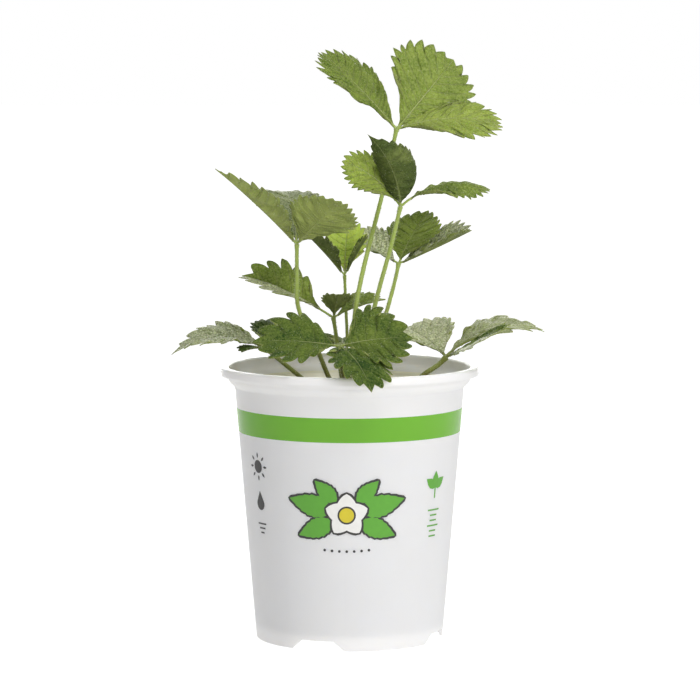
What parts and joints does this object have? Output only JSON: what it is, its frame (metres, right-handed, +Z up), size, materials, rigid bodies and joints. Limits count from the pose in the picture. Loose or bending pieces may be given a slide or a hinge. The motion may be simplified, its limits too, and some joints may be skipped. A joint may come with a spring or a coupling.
{
  "type": "potted strawberry plant",
  "caption": "Young strawberry plant with toothed three-part leaves, growing from a short crown in the soil of a tapered white plastic nursery pot.",
  "frame": {"origin": "centre of the plant's footprint, on the surface that the pot stands on", "axes": "+Z up, -Y towards the viewer of the picture, +X to the viewer's right"},
  "size_m": [0.151, 0.1276, 0.24],
  "materials": {
    "pot_plastic": "satin, with a printed green band",
    "soil": "matte, crumbly",
    "crown": "matte",
    "leaf_bright": "matte, finely hairy",
    "leaf_mid": "matte, finely hairy",
    "leaf_dark": "matte, finely hairy",
    "leaf_silver": "matte, finely hairy, with a silvery sheen"
  },
  "bodies": {
    "root": {"pot": "pot_plastic", "soil": "soil", "crown": "crown", "leaf_top": "leaf_bright", "leaf_second": "leaf_dark", "leaf_third": "leaf_mid", "leaf_left": "leaf_silver", "leaf_young": "leaf_bright", "leaf_low_left": "leaf_mid", "leaf_front": "leaf_dark", "leaf_rim_right": "leaf_silver", "leaf_rim_left": "leaf_silver", "leaf_back": "leaf_mid"}
  },
  "joints": []
}
